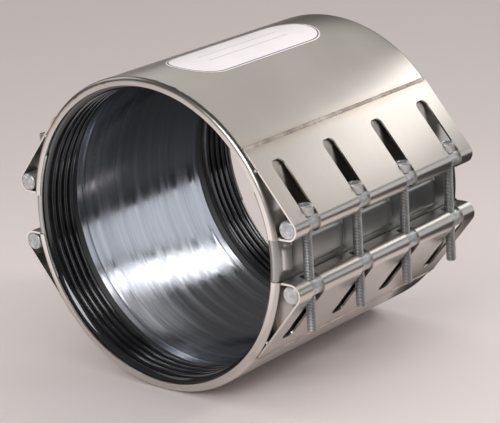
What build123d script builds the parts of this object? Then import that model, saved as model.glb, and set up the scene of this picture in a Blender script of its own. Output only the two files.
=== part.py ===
from math import acos, atan2, cos, degrees, hypot, radians, sin, sqrt
import os

from build123d import *

os.makedirs("parts", exist_ok=True)

# Two-part pipe coupling. +Y is the pipe axis, +Z is up, and the origin is the middle of the bore.
# The upper half draws down towards the lower half when the eight screws are tightened.
# The lower half is the upper half turned half a turn about the pipe axis.

# Driving dimensions, in millimetres.
LENGTH = 300.0           # over the two turned-in rims
CASING_R = 159.0         # outside radius of each rolled half
HALF_SHIFT = 1.5         # while open, each half's centre stands this far off the bore axis
SHEET = 2.0              # casing and loop sheet
RIM_BEND = 4.5           # outside radius of the bend into the rim
RIM_R = 150.5            # inside edge of the rim
BAR_R = 9.0
BAR_X = 168.8
BAR_Z = 32.0
BAR_LENGTH = 293.0
LOOP_LENGTH = 292.0
FIT_GAP = 0.1            # between sheet and what it lies on
LOOP_BEND = 2.0          # inside radius where the sheet leaves the casing

SCREW_COUNT = 4
SCREW_PITCH = 78.0
SCREW_R = 5.0
SCREW_LENGTH = 116.0
HEAD_R = 8.0
HEAD_HEIGHT = 10.0
HEAD_CHAMFER = 0.6
END_CHAMFER = 0.8        # bar ends and screw tails
SOCKET_ACROSS_FLATS = 8.0
SOCKET_DEPTH = 5.5
SPOT_DEPTH = 1.5         # flat sunk into the bar under each head
SPOT_R = 8.6
CLEAR_HOLE_R = 5.5
THREADED_HOLE_R = 5.06

SLOT_WIDTH = 18.0
SLOT_TOP = 18.7          # from the weld seam down to the slot's rounded end
SLOT_CORNER = 6.5
SLOT_INNER_X = 161.0     # where the slot ends in the return under the bar

BRIDGE_R = 156.4
BRIDGE_SHEET = 1.4
BRIDGE_BEND = 3.0
BRIDGE_HALF_ANGLE = 25.6
BRIDGE_RIM_R = 149.2
BRIDGE_LENGTH = 295.2
PAD_HEIGHT = 2.2
PAD_HALF_Z = 13.0
PAD_GAP = 18.0           # pressed channel behind each screw
PAD_MARGIN = 6.5         # from the plate's end to its first pad

SLEEVE_R = 154.6
SLEEVE_BASE_R = 151.2
RIB_R = 146.5
SLEEVE_LENGTH = 291.6
RIB_CENTRES = (108.2, 116.6, 125.2, 133.8)
RIB_HALF_WIDTH = 2.6
END_STEP = 1.0           # the sleeve's back is this much shorter than its lips
LIP_INSET = 0.6          # and its lips stand in by this much from its back
LIP_INNER_Y = 139.2      # where the lip's inner bevel meets the base
LIP_LAND = (1.6, 3.6)    # the lip's land, measured back from the end
LIP_FACE = 2.2           # the lip's outer bevel, measured out from the land
POCKET_PLAY = 0.3        # room around the strip insert in its pocket
INSERT_R = 151.0
INSERT_SHEET = 0.9
INSERT_LENGTH = 190.0

LABEL_LENGTH = 204.0
LABEL_WIDTH = 70.0
LABEL_SHEET = 0.3
LABEL_ANGLE = 86.0       # from +X, about the pipe axis
LABEL_Y = -2.5
WELD_LEG = 2.2
WELD_CROWN_R = 2.6
WELD_INSET = 1.0         # from the plate's end to the bead's end
WELD_ROOT_GAP = 0.02     # degrees between the bead and the plate's edge

# Worked out from the driving dimensions.
SCREW_YS = [(i - (SCREW_COUNT - 1) / 2) * SCREW_PITCH for i in range(SCREW_COUNT)]
LOOP_INNER_R = BAR_R + FIT_GAP
LOOP_OUTER_R = LOOP_INNER_R + SHEET
PLATE_R = CASING_R + FIT_GAP
BAR_RISE = BAR_Z - HALF_SHIFT
# Direction of the flat plate's normal: the plate touches both the casing and the bar.
PLATE_ANGLE = degrees(
    acos((PLATE_R - LOOP_INNER_R) / hypot(BAR_X, BAR_RISE)) + atan2(BAR_RISE, BAR_X)
)
RETURN_TOP = BAR_Z - LOOP_INNER_R
EDGE_Z = RETURN_TOP - SHEET
BEND_Z = RETURN_TOP + LOOP_BEND
BEND_X = sqrt(CASING_R**2 - (BEND_Z - HALF_SHIFT) ** 2) + LOOP_BEND
HEAD_SEAT_Z = BAR_Z + BAR_R - SPOT_DEPTH
HALF_AXIS = Axis((0, 0, HALF_SHIFT), (0, 1, 0))
SECTION = Plane.XZ       # +X out, +Z up, drawn across the pipe


def polar(radius, angle, centre_z=0.0):
    """Point of a cross section, at an angle from +X about a centre on the Z axis."""
    return (radius * cos(radians(angle)), centre_z + radius * sin(radians(angle)))


def write(builder, label):
    """Names one piece and writes its STEP file."""
    builder.part.label = label
    export_step(builder.part, f"parts/{label}.step")


def turned(builder, label):
    """Writes the same piece turned half a turn about the pipe axis."""
    with BuildPart() as other:
        add(builder.part.rotate(Axis.Y, 180))
    write(other, label)


def rolled_sheet(radius, sheet, bend, rim_radius, length, half_angle):
    """A sheet rolled about the pipe axis, its ends turned inward, spread both ways from +X."""
    end = length / 2
    with BuildPart() as rolled:
        with BuildSketch(Plane.XY.rotated((0, half_angle, 0))):
            with BuildLine():
                Line((radius, 0), (radius, end - bend))
                CenterArc((radius - bend, end - bend), bend, 0, 90)
                Line((radius - bend, end), (rim_radius, end))
                Line((rim_radius, end), (rim_radius, end - sheet))
                Line((rim_radius, end - sheet), (radius - bend, end - sheet))
                CenterArc((radius - bend, end - bend), bend - sheet, 90, -90)
                Line((radius - sheet, end - bend), (radius - sheet, 0))
                Line((radius - sheet, 0), (radius, 0))
            make_face()
            mirror(about=Plane.XZ)
        revolve(axis=Axis.Y, revolution_arc=-2 * half_angle)
    return rolled.part


# Casing halves: a rolled ring with rims, cut off above the gap and let out for the loops' bends.
with BuildPart() as casing:
    half_ring = rolled_sheet(CASING_R, SHEET, RIM_BEND, RIM_R, LENGTH, 90)
    add(half_ring.rotate(Axis.Y, -90).moved(Location((0, 0, HALF_SHIFT))))
    with BuildSketch(Plane.XY.offset(EDGE_Z)):
        Rectangle(3 * CASING_R, 2 * LENGTH)
    extrude(amount=-2 * CASING_R, mode=Mode.SUBTRACT)
    with BuildSketch(Plane.XY.offset(BEND_Z)):
        Rectangle(3 * CASING_R, LOOP_LENGTH + 2 * FIT_GAP)
    extrude(amount=-2 * SHEET - LOOP_BEND, mode=Mode.SUBTRACT)
write(casing, "upper_casing")
turned(casing, "lower_casing")

# Bar loop: out of the casing's edge, under the bar, round its outside, and flat back to the casing.
seam_plane = Plane(
    origin=(polar(PLATE_R + SHEET, PLATE_ANGLE)[0], 0, polar(PLATE_R + SHEET, PLATE_ANGLE, HALF_SHIFT)[1]),
    x_dir=(sin(radians(PLATE_ANGLE)), 0, -cos(radians(PLATE_ANGLE))),
    z_dir=(cos(radians(PLATE_ANGLE)), 0, sin(radians(PLATE_ANGLE))),
)
slot_reach = 70.0
with BuildPart() as loop:
    with BuildSketch(SECTION):
        with BuildLine():
            seam_in = polar(PLATE_R, PLATE_ANGLE, HALF_SHIFT)
            seam_out = polar(PLATE_R + SHEET, PLATE_ANGLE, HALF_SHIFT)
            bar_in = CenterArc((BAR_X, BAR_Z), LOOP_INNER_R, -90, PLATE_ANGLE + 90)
            bar_out = CenterArc((BAR_X, BAR_Z), LOOP_OUTER_R, -90, PLATE_ANGLE + 90)
            Line(seam_in, bar_in @ 1)
            Line(seam_out, bar_out @ 1)
            Line(seam_in, seam_out)
            Line(bar_in @ 0, (BEND_X, RETURN_TOP))
            Line(bar_out @ 0, (BEND_X, EDGE_Z))
            CenterArc((BEND_X, BEND_Z), LOOP_BEND, 180, 90)
            CenterArc((BEND_X, BEND_Z), LOOP_BEND + SHEET, 180, 90)
            Line((BEND_X - LOOP_BEND, BEND_Z), (BEND_X - LOOP_BEND - SHEET, BEND_Z))
        make_face()
    extrude(amount=LOOP_LENGTH / 2, both=True)
    # Slots in the flat plate, from near the seam to the bar.
    with BuildSketch(seam_plane):
        with Locations(*[(SLOT_TOP + slot_reach / 2, y) for y in SCREW_YS]):
            RectangleRounded(slot_reach, SLOT_WIDTH, SLOT_CORNER)
    extrude(amount=-2 * SHEET, mode=Mode.SUBTRACT)
    # The same slots, carried round the bar's outside and into the return under it.
    with BuildSketch(Plane.XY.offset(EDGE_Z - SHEET)):
        with Locations(*[(SLOT_INNER_X + slot_reach / 2, y) for y in SCREW_YS]):
            RectangleRounded(slot_reach, SLOT_WIDTH, SLOT_CORNER)
    extrude(amount=BAR_R + BAR_Z - EDGE_Z, mode=Mode.SUBTRACT)
write(loop, "upper_right_bar_loop")
turned(loop, "lower_left_bar_loop")
with BuildPart() as left_loop:
    add(loop.part.mirror(Plane.YZ))
write(left_loop, "upper_left_bar_loop")
turned(left_loop, "lower_right_bar_loop")

# Weld seam: a low bead along the plate's edge, lying on the casing.
with BuildPart() as weld:
    seam_angle = degrees(WELD_LEG / CASING_R)
    with BuildSketch(SECTION):
        with BuildLine():
            foot = polar(PLATE_R, PLATE_ANGLE + seam_angle, HALF_SHIFT)
            toe_in = polar(PLATE_R, PLATE_ANGLE + WELD_ROOT_GAP, HALF_SHIFT)
            toe_out = polar(PLATE_R + SHEET, PLATE_ANGLE + WELD_ROOT_GAP, HALF_SHIFT)
            Line(toe_in, toe_out)
            RadiusArc(toe_out, foot, -WELD_CROWN_R)
            Line(foot, toe_in)
        make_face()
    extrude(amount=LOOP_LENGTH / 2 - WELD_INSET, both=True)
write(weld, "upper_right_weld")
turned(weld, "lower_left_weld")
with BuildPart() as left_weld:
    add(weld.part.mirror(Plane.YZ))
write(left_weld, "upper_left_weld")
turned(left_weld, "lower_right_weld")


def bar_at(label, x, z, plain):
    """A cross-drilled bar: plain holes with flats on the head side, or threaded holes."""
    with BuildPart() as bar:
        with BuildSketch(SECTION):
            with Locations((x, z)):
                Circle(BAR_R)
        extrude(amount=BAR_LENGTH / 2, both=True)
        chamfer(bar.edges().filter_by(GeomType.CIRCLE), END_CHAMFER)
        head_side = 1 if z > 0 else -1
        top = Plane(origin=(x, 0, z + head_side * BAR_R), x_dir=(1, 0, 0), z_dir=(0, 0, head_side))
        with Locations(top):
            with Locations(*[(0, head_side * y, 0) for y in SCREW_YS]):
                if plain:
                    CounterBoreHole(CLEAR_HOLE_R, SPOT_R, SPOT_DEPTH)
                else:
                    Hole(THREADED_HOLE_R)
    write(bar, label)


bar_at("upper_right_bar", BAR_X, BAR_Z, True)
bar_at("lower_right_bar", BAR_X, -BAR_Z, False)
bar_at("lower_left_bar", -BAR_X, -BAR_Z, True)
bar_at("upper_left_bar", -BAR_X, BAR_Z, False)

# Cap screws: the right row stands head up, the left row head down.
for index, y in enumerate(SCREW_YS):
    with BuildPart() as screw:
        with BuildSketch(Plane.XY.offset(HEAD_SEAT_Z)):
            with Locations((BAR_X, y)):
                Circle(HEAD_R)
        extrude(amount=HEAD_HEIGHT)
        chamfer(screw.edges().group_by(Axis.Z)[-1], HEAD_CHAMFER)
        with BuildSketch(Plane.XY.offset(HEAD_SEAT_Z + HEAD_HEIGHT)):
            with Locations((BAR_X, y)):
                RegularPolygon(SOCKET_ACROSS_FLATS / 2, 6, major_radius=False)
        extrude(amount=-SOCKET_DEPTH, mode=Mode.SUBTRACT)
        with BuildSketch(Plane.XY.offset(HEAD_SEAT_Z)):
            with Locations((BAR_X, y)):
                Circle(SCREW_R)
        extrude(amount=-SCREW_LENGTH)
        chamfer(screw.edges().group_by(Axis.Z)[0], END_CHAMFER)
    write(screw, f"right_screw_{index + 1}")
    turned(screw, f"left_screw_{index + 1}")

# Bridge plate: the inner sheet behind the gap, with turned-in ends and pressed pads between screws.
pad_end = BRIDGE_LENGTH / 2 - PAD_MARGIN
pad_ends = [-pad_end] + SCREW_YS + [pad_end]
pad_spans = []
for near, far in zip(pad_ends[:-1], pad_ends[1:]):
    low = near if near == -pad_end else near + PAD_GAP / 2
    high = far if far == pad_end else far - PAD_GAP / 2
    pad_spans.append((low, high))


def pads(radius, sheet, half_z, shrink):
    """The pads' blocks between two radii, spread both ways from +X by their half height."""
    spread = degrees(half_z / BRIDGE_R)
    with BuildPart() as blocks:
        with BuildSketch(Plane.XY.rotated((0, spread, 0))):
            for low, high in pad_spans:
                with Locations((radius - sheet / 2, (low + high) / 2)):
                    Rectangle(sheet, high - low - 2 * shrink)
        revolve(axis=Axis.Y, revolution_arc=-2 * spread)
    return blocks.part


pad_wall = PAD_HEIGHT + BRIDGE_SHEET / 2
with BuildPart() as bridge:
    add(rolled_sheet(BRIDGE_R, BRIDGE_SHEET, BRIDGE_BEND, BRIDGE_RIM_R, BRIDGE_LENGTH, BRIDGE_HALF_ANGLE))
    add(pads(BRIDGE_R + PAD_HEIGHT, pad_wall, PAD_HALF_Z, 0))
    hollow_half_z = PAD_HALF_Z - BRIDGE_SHEET
    hollow = pads(BRIDGE_R + PAD_HEIGHT - BRIDGE_SHEET, PAD_HEIGHT + 1, hollow_half_z, BRIDGE_SHEET)
    add(hollow, mode=Mode.SUBTRACT)
write(bridge, "right_bridge_plate")
turned(bridge, "left_bridge_plate")

# Rubber sleeve: a thin body, a big bevelled lip at each end and four ribs behind it.
sleeve_end = SLEEVE_LENGTH / 2
lip_back_r = SLEEVE_R - LIP_INSET
rib_height = SLEEVE_BASE_R - RIB_R
with BuildPart() as sleeve:
    with BuildSketch(Plane.XY):
        with Locations(((SLEEVE_R + SLEEVE_BASE_R) / 2, 0)):
            Rectangle(SLEEVE_R - SLEEVE_BASE_R, SLEEVE_LENGTH - 2 * END_STEP)
        for rib_y in RIB_CENTRES:
            with Locations((SLEEVE_BASE_R - rib_height / 2 + FIT_GAP, rib_y)):
                Rectangle(rib_height + 2 * FIT_GAP, 2 * RIB_HALF_WIDTH)
        with BuildLine():
            Polyline(
                (lip_back_r, sleeve_end),
                (RIB_R + LIP_FACE, sleeve_end),
                (RIB_R, sleeve_end - LIP_LAND[0]),
                (RIB_R, sleeve_end - LIP_LAND[1]),
                (SLEEVE_BASE_R, LIP_INNER_Y),
                (lip_back_r, LIP_INNER_Y),
                close=True,
            )
        make_face()
        mirror(about=Plane.XZ)
        with Locations((INSERT_R + INSERT_SHEET / 2 + FIT_GAP, 0)):
            Rectangle(2 * INSERT_SHEET + 2 * FIT_GAP, INSERT_LENGTH + 2 * POCKET_PLAY, mode=Mode.SUBTRACT)
    revolve(axis=Axis.Y, revolution_arc=360)
write(sleeve, "sealing_sleeve")

# Strip insert: one strip rolled into a ring, its closing ends lapped at the top of the bore.
with BuildPart() as insert:
    with BuildSketch(Plane.XY):
        with Locations((INSERT_R + INSERT_SHEET / 2, 0)):
            Rectangle(INSERT_SHEET, INSERT_LENGTH)
    revolve(axis=Axis.Y, revolution_arc=360)
write(insert, "strip_insert")

# Label: a long round-ended sticker on the top of the upper casing.
label_blank = 4.0        # depth of the blank that the film is cut from
with BuildPart() as label:
    with BuildSketch(Plane.XY.offset(CASING_R + HALF_SHIFT + label_blank / 2)):
        with Locations((0, LABEL_Y)):
            SlotOverall(LABEL_LENGTH, LABEL_WIDTH, rotation=90)
    extrude(amount=-2 * label_blank)
    with BuildSketch(SECTION):
        with Locations((0, HALF_SHIFT)):
            Circle(CASING_R + FIT_GAP + LABEL_SHEET)
            Circle(CASING_R + FIT_GAP, mode=Mode.SUBTRACT)
    extrude(amount=LENGTH / 2, both=True, mode=Mode.INTERSECT)
with BuildPart() as placed_label:
    add(label.part.rotate(HALF_AXIS, 90 - LABEL_ANGLE))
write(placed_label, "label")
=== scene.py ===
import math

import bmesh
import bpy
from mathutils import Matrix, Vector


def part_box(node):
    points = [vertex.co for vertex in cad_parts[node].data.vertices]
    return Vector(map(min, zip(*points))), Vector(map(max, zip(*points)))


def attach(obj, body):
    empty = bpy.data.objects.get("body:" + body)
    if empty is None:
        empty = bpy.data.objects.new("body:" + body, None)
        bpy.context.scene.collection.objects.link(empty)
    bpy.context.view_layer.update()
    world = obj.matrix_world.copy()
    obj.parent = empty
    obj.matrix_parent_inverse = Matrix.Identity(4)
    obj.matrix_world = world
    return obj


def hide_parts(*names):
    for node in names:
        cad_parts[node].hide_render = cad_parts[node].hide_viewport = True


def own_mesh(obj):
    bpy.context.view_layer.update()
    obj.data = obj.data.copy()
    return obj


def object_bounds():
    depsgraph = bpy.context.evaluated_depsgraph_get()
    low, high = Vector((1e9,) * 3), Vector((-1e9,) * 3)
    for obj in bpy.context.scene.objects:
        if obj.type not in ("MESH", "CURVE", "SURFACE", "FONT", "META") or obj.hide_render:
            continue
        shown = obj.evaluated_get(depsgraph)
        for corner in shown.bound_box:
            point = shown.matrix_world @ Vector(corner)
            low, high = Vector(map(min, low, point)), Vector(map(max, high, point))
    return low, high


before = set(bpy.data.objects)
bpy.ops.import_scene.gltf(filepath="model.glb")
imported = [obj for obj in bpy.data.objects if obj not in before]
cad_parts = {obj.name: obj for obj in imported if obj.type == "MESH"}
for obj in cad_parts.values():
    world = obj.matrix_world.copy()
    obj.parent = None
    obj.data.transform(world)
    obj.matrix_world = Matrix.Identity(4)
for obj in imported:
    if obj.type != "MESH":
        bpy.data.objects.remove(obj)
cad_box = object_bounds()


# View: a long lens from the front right, a little above the axis of the pipe.
# The coupling lies on the floor with its screws to the right.
azimuth, elevation, roll = math.radians(40.46), math.radians(17.44), math.radians(-3.85)
aim = Vector((0.0039, -0.0030, -0.0148))
away = Vector((
    math.sin(azimuth) * math.cos(elevation),
    -math.cos(azimuth) * math.cos(elevation),
    math.sin(elevation),
))
camera_data = bpy.data.cameras.new("camera")
camera_data.lens = 150.7
camera_data.clip_end = 50
camera = bpy.data.objects.new("camera", camera_data)
bpy.context.scene.collection.objects.link(camera)
camera.location = aim + away * 2.151
camera.rotation_euler = (
    away.to_track_quat("Z", "Y").to_matrix() @ Matrix.Rotation(roll, 3, "Z")
).to_euler()
bpy.context.scene.camera = camera
bpy.context.scene.view_settings.view_transform = "Standard"


# Studio: a wide pale floor in soft room light, a small bright diffuser behind and to the right, and
# more panels beside, above, to the left, in front and on the floor. Only the steel shows their shapes.
def soft_light(name, place, width, height, radiance, colour, target=(0.0, 0.0, 0.0)):
    """A rectangular diffuser facing a target; radiance is how bright it looks in the steel."""
    data = bpy.data.lights.new(name, "AREA")
    data.shape = "RECTANGLE"
    data.size = width
    data.size_y = height
    data.energy = radiance * math.pi * width * height
    data.color = colour
    light = bpy.data.objects.new(name, data)
    bpy.context.scene.collection.objects.link(light)
    light.location = place
    back = Vector(place) - Vector(target)
    light.rotation_euler = back.to_track_quat("Z", "Y").to_euler()
    light.visible_camera = False
    return light


soft_light("key_diffuser", (0.24, 0.56, 0.37), 0.36, 0.12, 2.6, (1.0, 0.99, 0.98))
soft_light("side_diffuser", (0.62, 0.62, 0.13), 0.80, 0.36, 0.68, (0.94, 0.96, 1.0), (0.50, 0.0, 0.0))
soft_light("top_diffuser", (-0.05, 0.32, 0.58), 1.20, 0.62, 0.60, (1.0, 0.97, 0.95), (-0.05, -1.0, 0.58))
soft_light("front_diffuser", (0.32, -1.02, 0.50), 0.55, 0.42, 6.0, (0.95, 0.97, 1.0))
soft_light("rim_diffuser", (-0.85, -0.25, 0.70), 0.70, 0.50, 0.75, (1.0, 0.98, 0.96))
soft_light("floor_card", (-0.40, -0.62, -0.155), 0.75, 0.60, 0.75, (0.98, 0.98, 1.0), (-0.40, -0.63, 1.0))
floor_wash = soft_light("floor_wash", (1.00, 0.85, 0.85), 0.30, 0.30, 24.0, (1.0, 0.97, 0.96))
floor_wash.visible_glossy = False


def maths(tree, operation, *values):
    """A Math node on numbers or outputs of other nodes; gives its output."""
    node = tree.nodes.new("ShaderNodeMath")
    node.operation = operation
    for socket, value in zip(node.inputs, values):
        if isinstance(value, bpy.types.NodeSocket):
            tree.links.new(value, socket)
        else:
            socket.default_value = value
    return node.outputs[0]


def add_node(tree, kind, inputs=None, **settings):
    """A node with its settings; inputs maps a socket to a value or to another node's output."""
    node = tree.nodes.new(kind)
    for name, value in settings.items():
        setattr(node, name, value)
    for socket, value in (inputs or {}).items():
        if isinstance(value, bpy.types.NodeSocket):
            tree.links.new(value, node.inputs[socket])
        else:
            node.inputs[socket].default_value = value
    return node


room_light, room_in_steel = 0.78, 0.07
world = bpy.data.worlds.new("room")
world.use_nodes = True
room = world.node_tree
background = room.nodes["Background"]
background.inputs["Color"].default_value = (1.0, 0.955, 0.94, 1)
glossy_ray = add_node(room, "ShaderNodeLightPath").outputs["Is Glossy Ray"]
room.links.new(
    maths(room, "MULTIPLY_ADD", glossy_ray, room_in_steel - room_light, room_light),
    background.inputs["Strength"],
)
bpy.context.scene.world = world


def new_material(name, colour, metallic, roughness):
    """A material and its shader, with the plain values on the shader's own sockets."""
    material = bpy.data.materials.new(name)
    material.use_nodes = True
    shader = material.node_tree.nodes["Principled BSDF"]
    shader.inputs["Base Color"].default_value = (*colour, 1)
    shader.inputs["Metallic"].default_value = metallic
    shader.inputs["Roughness"].default_value = roughness
    return material, shader


def flat_stage(name, corners, z, colour):
    """A level sheet of the studio with the given corners."""
    mesh = bpy.data.meshes.new(name)
    mesh.from_pydata([(x, y, z) for x, y in corners], [], [range(len(corners))])
    mesh.materials.append(new_material(name + "_surface", colour, 0, 0.6)[0])
    sheet = bpy.data.objects.new(name, mesh)
    bpy.context.scene.collection.objects.link(sheet)
    return sheet


floor_z = cad_box[0][2]
flat_stage("floor", ((-12, -12), (12, -12), (12, 12), (-12, 12)), floor_z, (0.70, 0.645, 0.635))
# A dark sheet on the floor behind the coupling, hidden from the camera, from diffuse light and from shadows:
# a painted dark reflection that only the steel's reflections show.
dark_reflection_corners = ((-0.35, 0.15), (0.12, 0.15), (0.12, 0.26), (2.4, 0.26), (2.4, 2.6), (-0.35, 2.6))
dark_reflection_sheet = flat_stage("dark_cloth", dark_reflection_corners, floor_z + 0.001, (0.02, 0.02, 0.023))
dark_reflection_sheet.visible_camera = False
dark_reflection_sheet.visible_diffuse = False
dark_reflection_sheet.visible_shadow = False


# Casing halves: 2 mm stainless sheet, rolled to a half circle, with both ends turned in as a rim.
# The sheet keeps its even mill finish, its cut edges are deburred, and the welds tint it with heat.
def finished(piece):
    """The same piece with its modifiers turned into plain mesh."""
    graph = bpy.context.evaluated_depsgraph_get()
    mesh = bpy.data.meshes.new_from_object(piece.evaluated_get(graph))
    old = piece.data
    piece.modifiers.clear()
    piece.data = mesh
    bpy.data.meshes.remove(old)
    return piece


def dressed(node, edge_round, corner=35):
    """A smooth-shaded copy of a CAD node with its sharp edges rounded."""
    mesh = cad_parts[node].data.copy()
    mesh.materials.clear()
    shape = bmesh.new()
    shape.from_mesh(mesh)
    bmesh.ops.remove_doubles(shape, verts=shape.verts, dist=2e-6)
    bmesh.ops.dissolve_limit(
        shape, angle_limit=math.radians(0.6), verts=shape.verts, edges=shape.edges
    )
    shape.to_mesh(mesh)
    shape.free()
    mesh.shade_smooth()
    piece = bpy.data.objects.new(node + "_piece", mesh)
    bpy.context.scene.collection.objects.link(piece)
    bevel = piece.modifiers.new("edge", "BEVEL")
    bevel.width = edge_round
    bevel.segments = 2
    bevel.limit_method = "ANGLE"
    bevel.angle_limit = math.radians(corner)
    flats = piece.modifiers.new("flats", "WEIGHTED_NORMAL")
    flats.weight = 100
    return finished(piece)


def mounted(piece, body, slot, material, *nodes):
    """Gives a piece its material, puts it on its body and lets it stand for its CAD nodes."""
    piece.data.materials.clear()
    piece.data.materials.append(material)
    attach(piece, body)
    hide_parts(*nodes)


def effect(name, inputs, outputs):
    """An empty shader node group: its tree, what its inputs give, and where its results go."""
    group = bpy.data.node_groups.new(name, "ShaderNodeTree")
    for label, value in inputs.items():
        kind = "NodeSocketVector" if isinstance(value, tuple) else "NodeSocketFloat"
        socket = group.interface.new_socket(name=label, in_out="INPUT", socket_type=kind)
        socket.default_value = value
    for label, kind in outputs.items():
        group.interface.new_socket(name=label, in_out="OUTPUT", socket_type=kind)
    given = group.nodes.new("NodeGroupInput").outputs
    return group, given, group.nodes.new("NodeGroupOutput").inputs


def ranged(tree, value, low, high, start=0.0, end=1.0):
    """A value from start..end, spread over low..high."""
    spread = {"Value": value, "From Min": start, "From Max": end, "To Min": low, "To Max": high}
    return add_node(tree, "ShaderNodeMapRange", spread).outputs[0]


def mixed(tree, share, first, second, blend="MIX"):
    """Two colours mixed by a share."""
    node = add_node(tree, "ShaderNodeMix", data_type="RGBA", blend_type=blend)
    for index, value in ((0, share), (6, first), (7, second)):
        if isinstance(value, bpy.types.NodeSocket):
            tree.links.new(value, node.inputs[index])
        else:
            node.inputs[index].default_value = value if index == 0 else (*value, 1)
    return node.outputs[2]


def noise(tree, place, scale, detail=2.0, rough=0.5):
    """The value of a noise texture at a place."""
    settings = {"Vector": place, "Scale": scale, "Detail": detail, "Roughness": rough}
    return add_node(tree, "ShaderNodeTexNoise", settings).outputs[0]


# Grain of rolled or brushed metal: fine and broad streaks along the stretch, and slow clouds.
grain, given, result = effect(
    "metal_grain", {"Stretch": (1.0, 1.0, 1.0), "Cloud Scale": 10.0},
    {"Fine": "NodeSocketFloat", "Broad": "NodeSocketFloat", "Clouds": "NodeSocketFloat"},
)
place = add_node(grain, "ShaderNodeTexCoord").outputs["Object"]
stretched = add_node(grain, "ShaderNodeVectorMath", {0: place, 1: given["Stretch"]}, operation="MULTIPLY")
grain.links.new(noise(grain, stretched.outputs[0], 1.0, 3.0, 0.65), result["Fine"])
grain.links.new(noise(grain, stretched.outputs[0], 0.15, 2.0), result["Broad"])
grain.links.new(noise(grain, place, given["Cloud Scale"], 3.0), result["Clouds"])

# Heat tint: brown, then straw, fading out from each of the four weld seams along the pipe.
casing_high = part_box("upper_casing")[1]
half_shift = casing_high.z - casing_high.x
weld_low, weld_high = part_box("upper_right_weld")
seam_x, seam_z = (weld_low.x + weld_high.x) / 2, (weld_low.z + weld_high.z) / 2
heat, given, result = effect(
    "heat_tint", {"Reach": 0.012}, {"Heat": "NodeSocketFloat", "Tint": "NodeSocketColor"}
)
place = add_node(heat, "ShaderNodeTexCoord").outputs["Object"]
axes = add_node(heat, "ShaderNodeSeparateXYZ", {0: place}).outputs
across = [
    maths(heat, "SUBTRACT", maths(heat, "ABSOLUTE", axes[axis]), seam)
    for axis, seam in (("X", seam_x), ("Z", seam_z))
]
distance = maths(heat, "SQRT", maths(heat, "ADD", *(maths(heat, "POWER", a, 2.0) for a in across)))
uneven = ranged(heat, noise(heat, place, 55.0, 3.0), 0.55, 1.45)
share = maths(heat, "DIVIDE", distance, maths(heat, "MULTIPLY", given["Reach"], uneven))
heat.links.new(ranged(heat, share, 1.0, 0.0), result["Heat"])
brown, straw = (0.36, 0.27, 0.22), (0.80, 0.68, 0.50)
heat.links.new(mixed(heat, ranged(heat, share, 0, 1), brown, straw), result["Tint"])


def shared(tree, group, **inputs):
    """Places a shared effect in a material with its own values."""
    node = add_node(tree, "ShaderNodeGroup", node_tree=group)
    for label, value in inputs.items():
        node.inputs[label.replace("_", " ")].default_value = value
    return node.outputs


def bumped(tree, shader, height, depth, strength=1.0):
    """Feeds a height into the shader's normal."""
    settings = {"Height": height, "Distance": depth, "Strength": strength}
    bump = add_node(tree, "ShaderNodeBump", settings)
    tree.links.new(bump.outputs[0], shader.inputs["Normal"])


def sheet_steel(name, dark, light, dull, stretch, heat_reach):
    """Dull stainless sheet: fine streaks and slow clouds in its colour, and heat by the welds."""
    material, shader = new_material(name, light, 1, dull)
    tree = material.node_tree
    streaks = shared(tree, grain, Stretch=stretch, Cloud_Scale=9.0)
    tint = shared(tree, heat, Reach=heat_reach)
    body = mixed(tree, ranged(tree, streaks["Clouds"], 0, 1, 0.3, 0.7), dark, light)
    body = mixed(tree, ranged(tree, streaks["Fine"], 0.0, 0.06, 0.3, 0.7), body, (0.30, 0.29, 0.28))
    body = mixed(tree, maths(tree, "MULTIPLY", tint["Heat"], 0.6), body, tint["Tint"])
    tree.links.new(body, shader.inputs["Base Color"])
    return material


mill_steel = sheet_steel(
    "mill_steel", (0.60, 0.565, 0.525), (0.68, 0.645, 0.60), 0.29, (35.0, 1100.0, 35.0), 0.010
)
for node, body in (("upper_casing", "upper_half"), ("lower_casing", "lower_half")):
    mounted(dressed(node, 0.0003), body, "stainless_sheet", mill_steel, node)


# Bar loops: the same sheet carried round each bar and back to the casing, slotted for the screws.
# It is a shade lighter than the casing, and the heat of the welds reaches further into it.
loop_steel = sheet_steel(
    "loop_steel", (0.62, 0.585, 0.54), (0.70, 0.665, 0.62), 0.29, (35.0, 900.0, 35.0), 0.014
)
for half in ("upper", "lower"):
    for side in ("right", "left"):
        node = f"{half}_{side}_bar_loop"
        mounted(dressed(node, 0.0004), half + "_half", "stainless_sheet", loop_steel, node)


# Welds: a thin run of overlapping ripples along the edge of each bar loop, laid on the casing, and a
# tack at each end of that edge, where the loop leaves the casing.
def geometry_tree(name, inputs):
    """An empty Geometry Nodes tree with named inputs: its tree, what they give, and its result."""
    tree = bpy.data.node_groups.new(name, "GeometryNodeTree")
    tree.interface.new_socket(name="Geometry", in_out="OUTPUT", socket_type="NodeSocketGeometry")
    for label, kind in inputs.items():
        tree.interface.new_socket(name=label, in_out="INPUT", socket_type="NodeSocket" + kind)
    given = tree.nodes.new("NodeGroupInput").outputs
    return tree, given, tree.nodes.new("NodeGroupOutput").inputs[0]


def grown(name, tree, **values):
    """A piece made by a tree: the inputs are set by identifier, then the result becomes a mesh."""
    piece = bpy.data.objects.new(name, bpy.data.meshes.new(name))
    bpy.context.scene.collection.objects.link(piece)
    modifier = piece.modifiers.new("grow", "NODES")
    modifier.node_group = tree
    identifiers = {item.name: item.identifier for item in tree.interface.items_tree}
    for label, value in values.items():
        modifier[identifiers[label.replace("_", " ")]] = value
    return finished(piece)


def vector(tree, x=0.0, y=0.0, z=0.0):
    """A vector from three numbers or outputs."""
    return add_node(tree, "ShaderNodeCombineXYZ", {0: x, 1: y, 2: z}).outputs[0]


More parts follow.
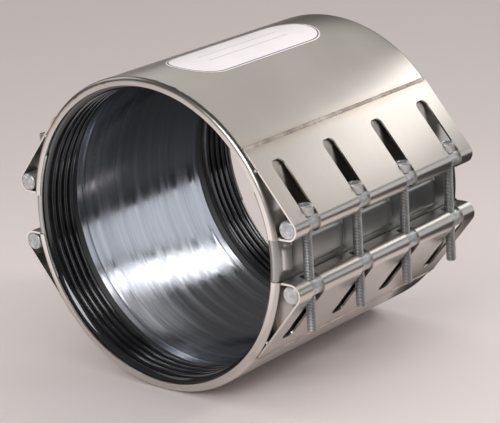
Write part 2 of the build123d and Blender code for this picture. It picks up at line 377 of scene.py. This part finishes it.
weld_tree, given, result = geometry_tree("weld_run", {
    "Length": "Float", "Ripple": "Float", "Height": "Float", "Width": "Float", "Radius": "Float",
    "Angle": "Float", "Tack Size": "Float", "Tack Angle": "Float", "Tack Spread": "Float",
    "Centre Z": "Float", "Seed": "Int", "Material": "Material",
})
ripples = maths(weld_tree, "DIVIDE", given["Length"], given["Ripple"])
line = add_node(weld_tree, "GeometryNodeMeshLine", {
    "Count": ripples,
    "Start Location": vector(weld_tree, 0, maths(weld_tree, "MULTIPLY", given["Length"], -0.5), 0),
    "Offset": vector(weld_tree, 0, given["Ripple"], 0),
})
drop = add_node(weld_tree, "GeometryNodeMeshUVSphere", {"Segments": 12, "Rings": 7, "Radius": 1.0})
uneven = add_node(weld_tree, "FunctionNodeRandomValue", {"Seed": given["Seed"]}, data_type="FLOAT_VECTOR")
uneven.inputs[0].default_value = (0.82, 1.0, 0.86)
uneven.inputs[1].default_value = (1.12, 1.25, 1.14)
ripple_size = add_node(weld_tree, "ShaderNodeVectorMath", {
    0: uneven.outputs[0], 1: vector(weld_tree, given["Height"], given["Ripple"], given["Width"]),
}, operation="MULTIPLY")
run = add_node(weld_tree, "GeometryNodeInstanceOnPoints", {
    "Points": line.outputs[0], "Instance": drop.outputs[0], "Scale": ripple_size.outputs[0],
})
ends = add_node(weld_tree, "GeometryNodeMeshLine", {
    "Count": 2,
    "Start Location": vector(weld_tree, 0, maths(weld_tree, "MULTIPLY", given["Tack Spread"], -0.5), 0),
    "Offset": vector(weld_tree, 0, given["Tack Spread"], 0),
})
tacks = add_node(weld_tree, "GeometryNodeInstanceOnPoints", {
    "Points": ends.outputs[0], "Instance": drop.outputs[0],
    "Scale": vector(weld_tree, *[given["Tack Size"]] * 3),
})
joined = weld_tree.nodes.new("GeometryNodeJoinGeometry")
for beads, angle in ((run, given["Angle"]), (tacks, given["Tack Angle"])):
    out = add_node(weld_tree, "GeometryNodeTransform", {
        "Geometry": add_node(weld_tree, "GeometryNodeRealizeInstances", {0: beads.outputs[0]}).outputs[0],
        "Translation": vector(weld_tree, given["Radius"], 0, 0),
    })
    # The other side's beads are these carried round to the mirrored angle.
    for side_angle in (angle, maths(weld_tree, "SUBTRACT", math.pi, angle)):
        swung = add_node(weld_tree, "GeometryNodeTransform", {
            "Geometry": out.outputs[0],
            "Rotation": vector(weld_tree, 0, maths(weld_tree, "MULTIPLY", side_angle, -1.0), 0),
            "Translation": vector(weld_tree, 0, 0, given["Centre Z"]),
        })
        weld_tree.links.new(swung.outputs[0], joined.inputs[0])
smooth = add_node(weld_tree, "GeometryNodeSetShadeSmooth", {0: joined.outputs[0]})
coated = add_node(
    weld_tree, "GeometryNodeSetMaterial", {0: smooth.outputs[0], "Material": given["Material"]}
)
weld_tree.links.new(coated.outputs[0], result)

weld_metal, shader = new_material("weld_metal", (0.52, 0.47, 0.42), 0.6, 0.45)
tree = weld_metal.node_tree
streaks = shared(tree, grain, Stretch=(300.0, 700.0, 300.0), Cloud_Scale=60.0)
tree.links.new(
    mixed(tree, ranged(tree, streaks["Clouds"], 0, 1, 0.35, 0.65), (0.34, 0.29, 0.26), (0.70, 0.64, 0.58)),
    shader.inputs["Base Color"],
)
tree.links.new(ranged(tree, streaks["Fine"], 0.30, 0.52), shader.inputs["Roughness"])
bumped(tree, shader, streaks["Fine"], 0.0001, 0.6)

casing_r = casing_high.x
seam_angle = math.atan2(seam_z - half_shift, seam_x)
tack_angle = seam_angle - math.radians(8)
loop_low, loop_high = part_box("upper_right_bar_loop")
for half, turn, seed in (("upper", 0.0, 3), ("lower", math.pi, 8)):
    welds = grown(
        half + "_welds", weld_tree,
        Length=weld_high.y - weld_low.y - 0.001, Ripple=0.0015, Height=0.0017, Width=0.0026,
        Radius=casing_r + 0.0015, Angle=seam_angle + turn,
        Tack_Size=0.0018, Tack_Angle=tack_angle + turn, Tack_Spread=loop_high.y - loop_low.y,
        Centre_Z=half_shift if half == "upper" else -half_shift, Seed=seed, Material=weld_metal,
    )
    mounted(welds, half + "_half", "weld_bead", weld_metal, half + "_right_weld", half + "_left_weld")


# Bars: zinc-coated round bars, cross drilled. The coating is mottled, and the sheared ends are dimpled.
bar_low, bar_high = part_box("upper_right_bar")
bar_x = (bar_low.x + bar_high.x) / 2
zinc, shader = new_material("zinc", (0.62, 0.63, 0.62), 0.75, 0.42)
tree = zinc.node_tree
streaks = shared(tree, grain, Stretch=(260.0, 90.0, 260.0), Cloud_Scale=160.0)
place = add_node(tree, "ShaderNodeTexCoord").outputs["Object"]
along = add_node(tree, "ShaderNodeSeparateXYZ", {0: place}).outputs["Y"]
sheared = maths(tree, "GREATER_THAN", maths(tree, "ABSOLUTE", along), bar_high.y - 0.0006)
dimples = add_node(tree, "ShaderNodeTexVoronoi", {"Vector": place, "Scale": 420.0}, feature="SMOOTH_F1")
tree.links.new(
    mixed(tree, ranged(tree, streaks["Clouds"], 0, 1, 0.35, 0.65), (0.40, 0.41, 0.41), (0.60, 0.61, 0.61)),
    shader.inputs["Base Color"],
)
tree.links.new(ranged(tree, streaks["Fine"], 0.30, 0.52, 0.3, 0.7), shader.inputs["Roughness"])
relief = maths(tree, "MULTIPLY", dimples.outputs[0], sheared)
relief = maths(tree, "MULTIPLY_ADD", streaks["Fine"], 0.12, relief)
bumped(tree, shader, relief, 0.0007, 0.8)
for half in ("upper", "lower"):
    for side in ("right", "left"):
        node = f"{half}_{side}_bar"
        mounted(dressed(node, 0.0003), half + "_half", "zinc_bar", zinc, node)


# Screws: zinc-plated steel cap screws with a hexagon socket and a full-length rolled thread.
# Each thread is one helical sheet of facets, closed by its own ends; a knurled head sits on top.
def turned(name, rings, segments):
    """A closed shape of rings about the Z axis; each ring has a z and a radius for each angle."""
    shape = bmesh.new()
    rows = []
    for z, radius in rings:
        angles = [2 * math.pi * step / segments for step in range(segments)]
        rows.append([
            shape.verts.new((radius(a) * math.cos(a), radius(a) * math.sin(a), z)) for a in angles
        ])
    for lower, upper in zip(rows[:-1], rows[1:]):
        for i in range(segments):
            j = (i + 1) % segments
            shape.faces.new((lower[i], lower[j], upper[j], upper[i]))
    bmesh.ops.remove_doubles(shape, verts=shape.verts, dist=1e-6)
    bmesh.ops.recalc_face_normals(shape, faces=shape.faces)
    mesh = bpy.data.meshes.new(name)
    shape.to_mesh(mesh)
    shape.free()
    return mesh


screw_low, screw_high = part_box("right_screw_1")
head_r = (screw_high.x - screw_low.x) / 2
head_height, socket_flat, socket_depth = 0.010, 0.004, 0.0055
head_segments, knurls, knurl_depth = 96, 32, 0.00022


def knurled(a):
    """The head's radius at an angle, with the knurling's shallow grooves."""
    return head_r - knurl_depth * (0.5 + 0.5 * math.cos(knurls * a))


def hexagon(flat):
    """The radius of a hexagon at each angle; flat is half its width across flats."""
    return lambda a: flat / math.cos((a + math.pi / 6) % (math.pi / 3) - math.pi / 6)


head_rings = [
    (0, lambda a: 0.0), (0, lambda a: head_r - 0.0009), (0.0004, lambda a: head_r - 0.0003),
    (0.0009, knurled), (head_height - 0.0016, knurled), (head_height - 0.0012, lambda a: head_r - 0.0001),
    (head_height - 0.0006, lambda a: head_r - 0.00025), (head_height - 0.0002, lambda a: head_r - 0.0006),
    (head_height, lambda a: head_r - 0.0012), (head_height, hexagon(socket_flat + 0.0005)),
    (head_height - 0.0004, hexagon(socket_flat)), (head_height - socket_depth, hexagon(socket_flat)),
    (head_height - socket_depth - 0.0012, lambda a: 0.0),
]
head = bpy.data.objects.new("screw_head", turned("screw_head", head_rings, head_segments))

screw_tree, given, result = geometry_tree("cap_screw_row", {
    "Head": "Object", "Thread Radius": "Float", "Thread Depth": "Float", "Thread Pitch": "Float",
    "Shank Length": "Float", "Row Count": "Int", "Row Pitch": "Float", "Number": "Int",
    "Row X": "Float", "Tail Z": "Float", "Turned Over": "Float", "Material": "Material",
})
# Four rows of facets make one turn: two on the crest and two in the root.
pitch = given["Thread Pitch"]
turns = maths(screw_tree, "ADD", maths(screw_tree, "DIVIDE", given["Shank Length"], pitch), 5.0)
rows = maths(screw_tree, "MULTIPLY", maths(screw_tree, "ROUND", turns), 4.0)
lattice = add_node(screw_tree, "GeometryNodeMeshGrid", {
    "Size X": rows, "Size Y": 1.0, "Vertices X": maths(screw_tree, "ADD", rows, 1.0), "Vertices Y": 25,
})
where = add_node(screw_tree, "GeometryNodeInputPosition").outputs[0]
cell = add_node(screw_tree, "ShaderNodeSeparateXYZ", {0: where}).outputs
row = maths(screw_tree, "ROUND", maths(screw_tree, "MULTIPLY_ADD", rows, 0.5, cell["X"]))
around = maths(screw_tree, "ADD", cell["Y"], 0.5)
climbed = maths(screw_tree, "DIVIDE", row, 4.0)
rise = maths(screw_tree, "ADD", climbed, maths(screw_tree, "SUBTRACT", around, 2.0))
rise = maths(screw_tree, "MULTIPLY", rise, pitch)
root = maths(screw_tree, "LESS_THAN", maths(screw_tree, "MODULO", row, 4.0), 1.5)
radius = maths(
    screw_tree, "SUBTRACT", given["Thread Radius"], maths(screw_tree, "MULTIPLY", root, given["Thread Depth"])
)
tail_r = maths(screw_tree, "SUBTRACT", given["Thread Radius"], 0.001)
above_tail = maths(screw_tree, "ADD", maths(screw_tree, "DIVIDE", rise, pitch), 1.0)
below_head = maths(screw_tree, "SUBTRACT", given["Shank Length"], rise)
for limit in (
    maths(screw_tree, "MULTIPLY", tail_r, above_tail),
    maths(screw_tree, "ADD", tail_r, rise),
    maths(screw_tree, "MULTIPLY_ADD", maths(screw_tree, "DIVIDE", below_head, pitch), tail_r, tail_r),
):
    radius = maths(screw_tree, "MINIMUM", radius, limit)
radius = maths(screw_tree, "MAXIMUM", radius, 0.0)
turn = maths(screw_tree, "MULTIPLY", around, 2 * math.pi)
spot = vector(
    screw_tree,
    maths(screw_tree, "MULTIPLY", radius, maths(screw_tree, "COSINE", turn)),
    maths(screw_tree, "MULTIPLY", radius, maths(screw_tree, "SINE", turn)),
    maths(screw_tree, "MINIMUM", maths(screw_tree, "MAXIMUM", rise, 0.0), given["Shank Length"]),
)
# The root rows are kept as thread_root for the painted shade in the thread's grooves.
rooted = add_node(
    screw_tree, "GeometryNodeStoreNamedAttribute",
    {"Geometry": lattice.outputs[0], "Name": "thread_root", "Value": root}, data_type="FLOAT", domain="POINT",
)
wound = add_node(screw_tree, "GeometryNodeSetPosition", {"Geometry": rooted.outputs[0], "Position": spot})
outward = add_node(screw_tree, "GeometryNodeFlipFaces", {0: wound.outputs[0]})
closed = add_node(
    screw_tree, "GeometryNodeMergeByDistance", {"Geometry": outward.outputs[0], "Distance": 5e-6}
)
shank = add_node(screw_tree, "GeometryNodeSetShadeSmooth", {0: closed.outputs[0]})
head_info = add_node(screw_tree, "GeometryNodeObjectInfo", {"Object": given["Head"]})
head_up = add_node(screw_tree, "GeometryNodeTransform", {
    "Geometry": head_info.outputs["Geometry"], "Translation": vector(screw_tree, 0, 0, given["Shank Length"]),
})
whole = screw_tree.nodes.new("GeometryNodeJoinGeometry")
screw_tree.links.new(shank.outputs[0], whole.inputs[0])
screw_tree.links.new(head_up.outputs[0], whole.inputs[0])
half_row = maths(screw_tree, "MULTIPLY", maths(screw_tree, "SUBTRACT", given["Row Count"], 1.0), -0.5)
first_y = maths(screw_tree, "MULTIPLY", half_row, given["Row Pitch"])
line = add_node(screw_tree, "GeometryNodeMeshLine", {
    "Count": given["Row Count"],
    "Start Location": vector(screw_tree, given["Row X"], first_y, given["Tail Z"]),
    "Offset": vector(screw_tree, 0, given["Row Pitch"], 0),
})
index = add_node(screw_tree, "GeometryNodeInputIndex").outputs[0]
this_one = maths(screw_tree, "COMPARE", index, given["Number"], 0.1)
row_of = add_node(screw_tree, "GeometryNodeInstanceOnPoints", {
    "Points": line.outputs[0], "Selection": this_one, "Instance": whole.outputs[0],
})
real = add_node(screw_tree, "GeometryNodeRealizeInstances", {0: row_of.outputs[0]})
over = add_node(screw_tree, "GeometryNodeTransform", {
    "Geometry": real.outputs[0], "Rotation": vector(screw_tree, 0, given["Turned Over"], 0),
})
coated = add_node(
    screw_tree, "GeometryNodeSetMaterial", {0: over.outputs[0], "Material": given["Material"]}
)
screw_tree.links.new(coated.outputs[0], result)

plated, shader = new_material("plated_steel", (0.52, 0.52, 0.51), 0.8, 0.38)
tree = plated.node_tree
streaks = shared(tree, grain, Stretch=(300.0, 300.0, 300.0), Cloud_Scale=120.0)
# The thread roots are mixed towards near black: painted shade in the grooves of the thread.
root = add_node(tree, "ShaderNodeAttribute", attribute_name="thread_root").outputs["Fac"]
clouds = ranged(tree, streaks["Clouds"], 0, 1, 0.35, 0.65)
body = mixed(tree, clouds, (0.56, 0.565, 0.56), (0.70, 0.705, 0.70))
body = mixed(tree, maths(tree, "MULTIPLY", root, 0.9), body, (0.05, 0.05, 0.05))
tree.links.new(body, shader.inputs["Base Color"])
tree.links.new(ranged(tree, streaks["Fine"], 0.30, 0.48), shader.inputs["Roughness"])
bumped(tree, shader, streaks["Fine"], 0.0001, 0.5)

row_ys = [
    (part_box(f"right_screw_{number}")[0].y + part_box(f"right_screw_{number}")[1].y) / 2 for number in (1, 2)
]
for side, over_angle in (("right", 0.0), ("left", math.pi)):
    for number in range(4):
        node = f"{side}_screw_{number + 1}"
        screw = grown(
            node + "_piece", screw_tree,
            Head=head, Thread_Radius=0.005, Thread_Depth=0.0011, Thread_Pitch=0.0015,
            Shank_Length=screw_high.z - screw_low.z - head_height, Row_Count=4,
            Row_Pitch=row_ys[1] - row_ys[0], Number=number, Row_X=bar_x, Tail_Z=screw_low.z,
            Turned_Over=over_angle, Material=plated,
        )
        mounted(screw, node, "zinc_screw", plated, node)


# Bridge plates: the inner sheet that closes the gap behind each row of screws, its ends turned in.
# Pads are pressed out of it between the screws, so that a smooth channel runs behind each one; the rim of
# each pad carries a painted highlight.
def lattice_sheet(name, rows, wall):
    """A sheet from rows of points, with its wall added behind the faces."""
    shape = bmesh.new()
    grid = [[shape.verts.new(point) for point in row] for row in rows]
    for row, following in zip(grid[:-1], grid[1:]):
        for i in range(len(row) - 1):
            shape.faces.new((row[i], row[i + 1], following[i + 1], following[i]))
    mesh = bpy.data.meshes.new(name)
    shape.to_mesh(mesh)
    shape.free()
    mesh.shade_smooth()
    piece = bpy.data.objects.new(name, mesh)
    bpy.context.scene.collection.objects.link(piece)
    solid = piece.modifiers.new("wall", "SOLIDIFY")
    solid.thickness = wall
    solid.offset = -1
    return piece


def eased(share):
    """Smooth step from 0 to 1."""
    share = min(max(share, 0.0), 1.0)
    return share * share * (3 - 2 * share)


# plate_r is the radius of the plate's inner face: its faces look at the axis, so the wall is outside.
plate_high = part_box("right_bridge_plate")[1]
pad_height, pad_half_z, channel, pad_corner, press_slope = 0.0022, 0.0145, 0.0165, 0.006, 0.0024
plate_r, plate_bend, plate_wall, plate_rim_r = plate_high.x - pad_height, 0.003, 0.0014, 0.1492
plate_end, end_margin = plate_high.y, 0.0065
plate_half_angle = math.asin(plate_high.z / plate_r)
screw_ys = [row_ys[0] + number * (row_ys[1] - row_ys[0]) for number in range(4)]
pad_edges = [-plate_end + end_margin]
pad_edges += [y + s * channel / 2 for y in screw_ys for s in (-1, 1)]
pad_edges += [plate_end - end_margin]


def pressed(y, z):
    """How far the sheet is pressed out at a place: a rounded pad between each two screws."""
    rise = 0.0
    for low, high in zip(pad_edges[0::2], pad_edges[1::2]):
        dy = abs(y - (low + high) / 2) - (high - low) / 2 + pad_corner
        dz = abs(z) - pad_half_z + pad_corner
        outside = math.hypot(max(dy, 0), max(dz, 0)) + min(max(dy, dz), 0) - pad_corner
        rise = max(rise, eased(-outside / press_slope))
    return pad_height * rise


plate_path = [(-plate_end, plate_rim_r), (-plate_end, plate_r - plate_bend)]
for step in range(1, 7):
    bend_turn = math.radians(15 * step)
    plate_path.append((
        -plate_end + plate_bend * (1 - math.cos(bend_turn)), plate_r - plate_bend * (1 - math.sin(bend_turn)),
    ))
straight, half_steps, around_steps = plate_end - plate_bend, 95, 44
plate_path += [(-straight + straight * step / half_steps, plate_r) for step in range(1, half_steps + 1)]
plate_path += [(-y, r) for y, r in reversed(plate_path[:-1])]
plate_rows = []
for y, r in plate_path:
    row = []
    for step in range(2 * around_steps + 1):
        angle = plate_half_angle * (step / around_steps - 1)
        out = r + (pressed(y, plate_r * angle) if r == plate_r else 0.0)
        row.append((out * math.cos(angle), y, out * math.sin(angle)))
    plate_rows.append(row)

# The plate's sheet is coloured much darker than the casing's: painted shade from the bars and loops in front
# of it.
shaded_plate_steel = sheet_steel(
    "shaded_plate_steel", (0.33, 0.335, 0.325), (0.44, 0.445, 0.43), 0.32, (700.0, 30.0, 700.0), 0.0001
)
tree = shaded_plate_steel.node_tree
shader = tree.nodes["Principled BSDF"]
# The pad rims are mixed towards near white: a painted highlight along each rounded pad edge.
painted_pad_highlight = add_node(tree, "ShaderNodeAttribute", attribute_name="pad_edge").outputs["Fac"]
plain = shader.inputs["Base Color"].links[0].from_socket
tree.links.new(mixed(tree, painted_pad_highlight, plain, (0.86, 0.86, 0.83)), shader.inputs["Base Color"])


def gives_way(piece):
    """Gives the piece its own copy of its mesh."""
    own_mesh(piece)


for side, over in (("right", 0.0), ("left", math.pi)):
    plate = lattice_sheet(side + "_bridge_plate_piece", plate_rows, plate_wall)
    # pad_edge is highest on the slope round each pad and places the painted highlight there.
    pad_edge = plate.data.attributes.new("pad_edge", "FLOAT", "POINT")
    for vertex, mark in zip(plate.data.vertices, pad_edge.data):
        rise = (math.hypot(vertex.co.x, vertex.co.z) - plate_r) / pad_height
        mark.value = min(max(6 * rise * (1 - rise), 0.0), 1.0)
    plate.data.transform(Matrix.Rotation(over, 4, "Y"))
    finished(plate)
    mounted(plate, "lower_half", "bridge_sheet", shaded_plate_steel, side + "_bridge_plate")
    gives_way(plate)


# Sealing sleeve: one black rubber ring with a bevelled lip at each end and four ribs behind it.
# The corners are moulded round, and the surface has the faint shine of new rubber.
def rounded(corners, steps=5):
    """A closed outline with each corner (x, y, radius) replaced by an arc."""
    outline = []
    for index, (x, y, radius) in enumerate(corners):
        corner = Vector((x, y))
        before = (Vector(corners[index - 1][:2]) - corner).normalized()
        after = (Vector(corners[(index + 1) % len(corners)][:2]) - corner).normalized()
        if radius == 0:
            outline.append(corner)
            continue
        half = before.angle(after) / 2
        back = radius / math.tan(half)
        centre = corner + (before + after).normalized() * radius / math.sin(half)
        start, end = corner + before * back - centre, corner + after * back - centre
        sweep = start.angle_signed(end)
        outline += [centre + Matrix.Rotation(-sweep * i / steps, 2) @ start for i in range(steps + 1)]
    return outline


def revolved(name, outline, segments):
    """A ring about the pipe's axis with the outline (radius, y) as its section."""
    shape = bmesh.new()
    sections = []
    for step in range(segments):
        angle = 2 * math.pi * step / segments
        sections.append([
            shape.verts.new((r * math.cos(angle), y, r * math.sin(angle))) for r, y in outline
        ])
    for step, section in enumerate(sections):
        following = sections[(step + 1) % segments]
        for i in range(len(outline)):
            j = (i + 1) % len(outline)
            shape.faces.new((section[i], section[j], following[j], following[i]))
    bmesh.ops.recalc_face_normals(shape, faces=shape.faces)
    mesh = bpy.data.meshes.new(name)
    shape.to_mesh(mesh)
    shape.free()
    mesh.shade_smooth()
    piece = bpy.data.objects.new(name, mesh)
    bpy.context.scene.collection.objects.link(piece)
    return piece


sleeve_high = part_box("sealing_sleeve")[1]
insert_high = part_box("strip_insert")[1]
sleeve_r, sleeve_end = sleeve_high.x, sleeve_high.y
base_r, rib_r, rib_half = 0.1512, 0.1465, 0.0026
rib_ys = (0.1082, 0.1166, 0.1252, 0.1338)
lip_inner, lip_bevel, lip_crown = 0.1392, 0.0042, 0.0055
pocket_r, pocket_end = base_r + 0.0014, insert_high.y + 0.0003
half_section = [(sleeve_r, sleeve_end - 0.001, 0.0006), (sleeve_r - 0.0008, sleeve_end, 0.0004)]
half_section += [(rib_r + lip_bevel, sleeve_end, lip_crown), (rib_r, sleeve_end - lip_bevel, 0.0012)]
half_section += [(base_r, lip_inner, 0.0006)]
for rib_y in reversed(rib_ys):
    half_section += [(base_r, rib_y + rib_half + 0.0003, 0.0004), (rib_r, rib_y + rib_half - 0.0005, 0.0005)]
    half_section += [(rib_r + 0.0003, rib_y, 0.002)]
    half_section += [(rib_r, rib_y - rib_half + 0.0005, 0.0005), (base_r, rib_y - rib_half - 0.0003, 0.0004)]
half_section += [(base_r, pocket_end, 0.0003), (pocket_r, pocket_end, 0)]
section = half_section + [(r, -y, bend) for r, y, bend in reversed(half_section)]
sleeve = revolved("sealing_sleeve_piece", rounded(section), 192)

rubber, shader = new_material("rubber", (0.012, 0.012, 0.013), 0, 0.22)
tree = rubber.node_tree
streaks = shared(tree, grain, Stretch=(60.0, 900.0, 60.0), Cloud_Scale=24.0)
clouds = ranged(tree, streaks["Clouds"], 0, 1, 0.35, 0.7)
tree.links.new(
    mixed(tree, clouds, (0.008, 0.008, 0.009), (0.022, 0.022, 0.024)), shader.inputs["Base Color"]
)
# The crests of the lip and the ribs shine; the ground between them stays dull.
place = add_node(tree, "ShaderNodeTexCoord").outputs["Object"]
axes = add_node(tree, "ShaderNodeSeparateXYZ", {0: place}).outputs
squares = [maths(tree, "POWER", axes[axis], 2.0) for axis in ("X", "Z")]
from_axis = maths(tree, "SQRT", maths(tree, "ADD", *squares))
tree.links.new(ranged(tree, from_axis, 0.08, 0.42, rib_r + 0.0030, base_r), shader.inputs["Roughness"])
shader.inputs["Specular IOR Level"].default_value = 1.0
bumped(tree, shader, streaks["Fine"], 0.00003, 0.3)
mounted(sleeve, "lower_half", "rubber_black", rubber, "sealing_sleeve")
gives_way(sleeve)


# Strip insert: a bright stainless strip rolled into a ring inside the sleeve, lapped at the top.
# It is brushed round the ring, with a shallow bead rolled along both edges.
strip_r, strip_wall = insert_high.x, 0.00045
lap_start, lap_turn, joggle = math.radians(78), math.radians(9), math.radians(2.5)
bead_in, bead_half, bead_height = 0.0105, 0.0016, 0.00015
half_strip = insert_high.y
edge_band, edge_steps, middle_steps, strip_steps = 0.016, 20, 12, 240
edge_inner = half_strip - edge_band
strip_ys = [-half_strip + edge_band * step / edge_steps for step in range(edge_steps + 1)]
strip_ys += [-edge_inner + edge_inner * step / middle_steps for step in range(1, middle_steps + 1)]
strip_ys += [-y for y in reversed(strip_ys[:-1])]
strip_rows = []
for y in strip_ys:
    off_bead = (half_strip - abs(y) - bead_in) / bead_half
    bead = bead_height * math.exp(-off_bead * off_bead)
    row = []
    for step in range(strip_steps + 1):
        angle = lap_start + (2 * math.pi + lap_turn) * step / strip_steps
        past = (angle - lap_start - 2 * math.pi + joggle) / joggle
        out = strip_r - bead - strip_wall * eased(past)
        row.append((out * math.cos(angle), y, out * math.sin(angle)))
    strip_rows.append(row)
strip = finished(lattice_sheet("strip_insert_piece", strip_rows, strip_wall * 0.98))

bright_strip, shader = new_material("bright_strip", (0.56, 0.59, 0.65), 1, 0.16)
tree = bright_strip.node_tree
streaks = shared(tree, grain, Stretch=(9.0, 700.0, 9.0), Cloud_Scale=16.0)
tree.links.new(
    mixed(tree, ranged(tree, streaks["Fine"], 0, 1, 0.3, 0.7), (0.54, 0.57, 0.63), (0.68, 0.71, 0.77)),
    shader.inputs["Base Color"],
)
tree.links.new(ranged(tree, streaks["Broad"], 0.11, 0.26, 0.3, 0.7), shader.inputs["Roughness"])
relief = maths(tree, "MULTIPLY_ADD", streaks["Broad"], 3.0, streaks["Fine"])
bumped(tree, shader, relief, 0.0001, 0.4)
mounted(strip, "lower_half", "polished_strip", bright_strip, "strip_insert")
gives_way(strip)


# Label: a round-ended white film stuck on top of the casing, printed with a thin grey border
# and blank ruled lines to write on.
label_low, label_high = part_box("label")
label_length = label_high.y - label_low.y
label_width, end_steps, side_steps, label_rings = 0.070, 24, 20, 12
label_y = (label_low.y + label_high.y) / 2
label_angle = math.radians(86)
film_r, film_wall = casing_r + 0.0001, 0.0003
spine = (label_length - label_width) / 2
outline = []
for end, first in ((1, 0), (-1, math.pi)):
    for i in range(end_steps + 1):
        angle = first + math.pi * i / end_steps
        outline.append((math.cos(angle), spine * end, math.sin(angle)))
    outline += [(-end, spine * end * (1 - 2 * i / side_steps), 0.0) for i in range(1, side_steps)]
shape = bmesh.new()
rings = []
printed = shape.verts.layers.float_vector.new("print_place")
for step in range(label_rings + 1):
    reach = label_width / 2 * step / label_rings
    ring = []
    for out, y, bulge in outline:
        across, along = out * reach, y + bulge * reach
        angle = label_angle - across / film_r
        point = shape.verts.new((
            (film_r + film_wall) * math.cos(angle), label_y + along,
            half_shift + (film_r + film_wall) * math.sin(angle),
        ))
        point[printed] = (across, along, reach)
        ring.append(point)
    rings.append(ring)
for inner, outer in zip(rings[:-1], rings[1:]):
    for i in range(len(inner)):
        j = (i + 1) % len(inner)
        shape.faces.new((inner[i], outer[i], outer[j], inner[j]))
bmesh.ops.remove_doubles(shape, verts=shape.verts, dist=1e-6)
bmesh.ops.recalc_face_normals(shape, faces=shape.faces)
mesh = bpy.data.meshes.new("label_piece")
shape.to_mesh(mesh)
shape.free()
mesh.shade_smooth()
label = bpy.data.objects.new("label_piece", mesh)
bpy.context.scene.collection.objects.link(label)
solid = label.modifiers.new("wall", "SOLIDIFY")
solid.thickness = film_wall
solid.offset = -1
finished(label)

film, shader = new_material("label_film", (0.80, 0.77, 0.79), 0, 0.35)
tree = film.node_tree
printed_place = add_node(tree, "ShaderNodeAttribute", attribute_name="print_place").outputs["Vector"]
axes = add_node(tree, "ShaderNodeSeparateXYZ", {0: printed_place}).outputs
clouds = shared(tree, grain, Stretch=(30.0, 30.0, 30.0), Cloud_Scale=30.0)["Clouds"]


def within(tree, value, middle, reach):
    """1 where the value is less than reach from the middle, else 0."""
    return maths(tree, "COMPARE", value, middle, reach)


border_in, border_half, rule_half, rule_reach = 0.0022, 0.0007, 0.0005, 0.062
border = within(tree, axes["Z"], label_width / 2 - border_in, border_half)
rules = maths(tree, "ADD", *(within(tree, axes["X"], across, rule_half) for across in (0.006, -0.009)))
rules = maths(tree, "MULTIPLY", rules, within(tree, axes["Y"], 0, rule_reach))
ink = maths(tree, "MAXIMUM", border, maths(tree, "MULTIPLY", rules, 0.55))
paper = mixed(tree, clouds, (0.74, 0.70, 0.72), (0.84, 0.81, 0.83))
tree.links.new(mixed(tree, ink, paper, (0.10, 0.10, 0.105)), shader.inputs["Base Color"])
tree.links.new(ranged(tree, clouds, 0.28, 0.42), shader.inputs["Roughness"])
mounted(label, "upper_half", "label_white", film, "label")
